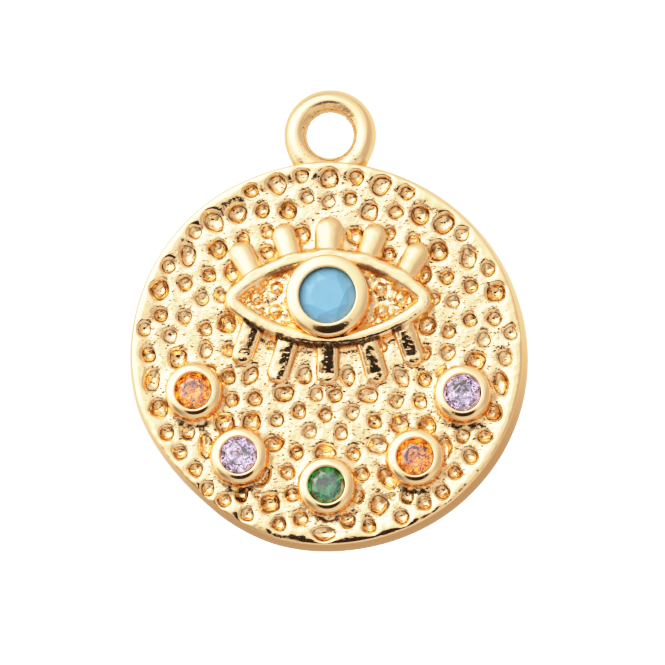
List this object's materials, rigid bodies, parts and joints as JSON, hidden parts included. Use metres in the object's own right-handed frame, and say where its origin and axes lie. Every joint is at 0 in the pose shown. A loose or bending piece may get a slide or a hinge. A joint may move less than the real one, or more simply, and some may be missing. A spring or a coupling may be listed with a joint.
{
  "type": "eye pendant",
  "caption": "Round gold-plated medallion with a raised lashed eye on a dented field, set with a blue stone and a row of small clear stones, hung by a cast loop.",
  "frame": {"origin": "middle of the round disc, on its flat back", "axes": "+Z out of the front face and along the hole of the loop, +Y from the middle of the disc to the loop, +X to the right as seen from the front"},
  "size_m": [0.016, 0.0191, 0.0025],
  "materials": {
    "gold_plate": "bright gold plate over cast brass, with a fine cast grain between the dents",
    "turquoise": "opaque polished stone, faceted",
    "orange_crystal": "clear cut crystal",
    "lilac_crystal": "clear cut crystal",
    "green_crystal": "clear cut crystal"
  },
  "bodies": {
    "root": {"medallion": "gold_plate", "eye_stone": "turquoise", "orange_stone_left": "orange_crystal", "lilac_stone_left": "lilac_crystal", "green_stone": "green_crystal", "orange_stone_right": "orange_crystal", "lilac_stone_right": "lilac_crystal"}
  },
  "joints": []
}
